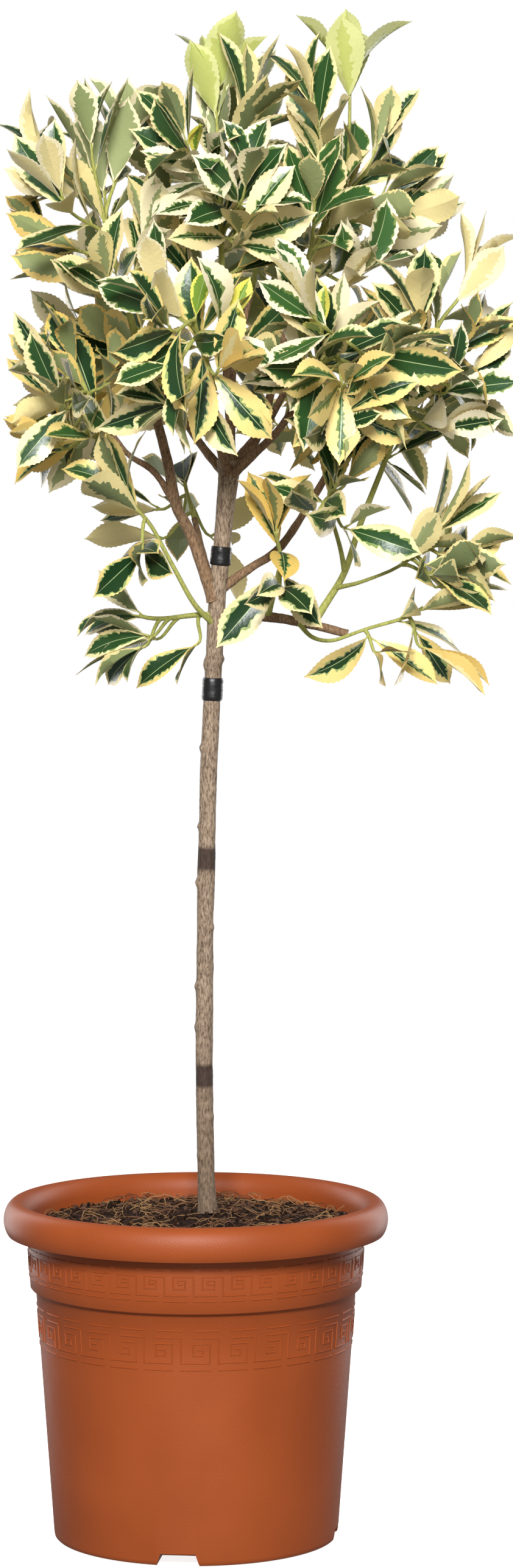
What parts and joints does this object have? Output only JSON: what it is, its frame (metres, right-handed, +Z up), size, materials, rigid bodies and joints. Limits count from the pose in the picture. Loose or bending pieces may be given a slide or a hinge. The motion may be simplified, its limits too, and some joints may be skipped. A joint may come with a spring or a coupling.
{
  "type": "variegated japanese spindle standard in a pot",
  "caption": "Small standard tree with a bare stem, a round head of cream-edged evergreen leaves and a round plastic pot of soil.",
  "frame": {"origin": "middle of the pot's flat underside, on the surface it stands on", "axes": "+Z up, the front of the plant faces -Y, +X to the right seen from the front"},
  "size_m": [0.3689, 0.3672, 1.1063],
  "materials": {
    "pot_plastic": "clay-coloured moulded polypropylene with a fine grain",
    "soil": "moist peat and coir potting soil with curling fibres",
    "bark": "grey-brown bark, finely fissured",
    "young_bark": "smooth yellow-green young bark",
    "tape": "black stretch tape with a soft gloss",
    "foliage": "leathery leaves, dark green in the middle and cream at the edge"
  },
  "bodies": {
    "root": {"bough_back_left": "bark", "bough_back_right": "bark", "bough_front": "bark", "bough_front_right": "bark", "bough_left": "bark", "bough_left_side": "bark", "bough_low_back": "bark", "bough_low_front": "young_bark", "bough_lower_left": "young_bark", "bough_lower_right": "bark", "bough_mid_front": "young_bark", "bough_mid_right": "bark", "bough_outer_right": "young_bark", "bough_right": "young_bark", "bough_top": "bark", "bough_top_back": "bark", "bough_under_right": "young_bark", "bough_upper_right": "bark", "foliage_back_left": "foliage", "foliage_back_right": "foliage", "foliage_front": "foliage", "foliage_front_right": "foliage", "foliage_left": "foliage", "foliage_low_back": "foliage", "foliage_low_front": "foliage", "foliage_low_left": "foliage", "foliage_low_right": "foliage", "foliage_lower_left": "foliage", "foliage_mid_front": "foliage", "foliage_outer_right": "foliage", "foliage_right": "foliage", "foliage_right_inner": "foliage", "foliage_top": "foliage", "foliage_top_back": "foliage", "foliage_top_left": "foliage", "foliage_top_right": "foliage", "pot": "pot_plastic", "soil": "soil", "tie_lower": "tape", "tie_upper": "tape", "trunk": "bark"}
  },
  "joints": []
}
